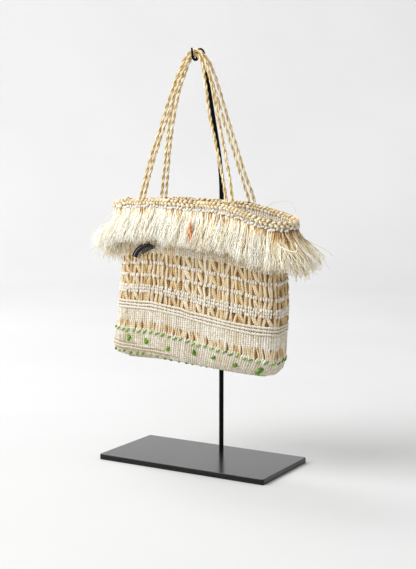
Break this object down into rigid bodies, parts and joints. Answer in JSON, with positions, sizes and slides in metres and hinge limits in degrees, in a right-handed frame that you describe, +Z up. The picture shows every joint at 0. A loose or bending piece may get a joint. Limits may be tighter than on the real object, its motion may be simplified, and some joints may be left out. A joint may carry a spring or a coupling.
{
  "type": "woven flax bag on a display stand",
  "caption": "Small fringed pouch bag of twined flax with openwork rows, green wool stitches and twisted cord handles, hung from the hook of a plain black steel display stand.",
  "frame": {"origin": "middle of the base plate's underside", "axes": "+X to the right along the plate, -Y towards the front of the bag, +Z up the post"},
  "size_m": [0.2728, 0.1078, 0.4374],
  "materials": {
    "black_steel": "satin",
    "twined_flax": "matte",
    "flax_cord": "matte",
    "loose_flax": "matte",
    "dark_feather": "satin"
  },
  "bodies": {
    "root": {"base_plate": "black_steel", "post": "black_steel", "bag_body": "twined_flax", "rim_braid": "flax_cord", "fringe": "loose_flax", "feather": "dark_feather", "handle_front_outer": "flax_cord", "handle_front_inner": "flax_cord", "handle_back_outer": "flax_cord", "handle_back_inner": "flax_cord"}
  },
  "joints": []
}
